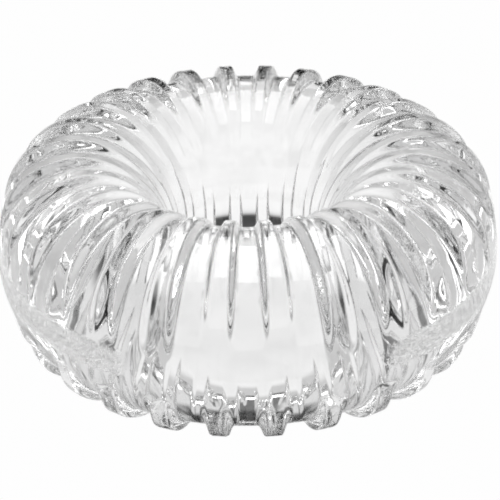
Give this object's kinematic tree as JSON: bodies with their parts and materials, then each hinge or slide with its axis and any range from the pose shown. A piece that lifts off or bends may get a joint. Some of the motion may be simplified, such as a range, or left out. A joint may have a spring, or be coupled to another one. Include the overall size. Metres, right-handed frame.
{
  "type": "ring insulator",
  "caption": "Ribbed clear-glass ring insulator: pressed upper and lower halves bonded at a mid-height seam round a central hole, resting on ground rib feet.",
  "frame": {"origin": "under the centre of the hole, on the level of the ground feet", "axes": "+Z along the ring's axis, upwards; a valley between two ribs faces -Y"},
  "size_m": [0.15, 0.15, 0.0622],
  "materials": {
    "clear_glass": "fire-polished, with fine chill marks near the seam",
    "bonding_film": "clear cured film, slightly cloudy at its edge"
  },
  "bodies": {
    "root": {"upper_half": "clear_glass", "lower_half": "clear_glass", "seam_film": "bonding_film"}
  },
  "joints": []
}
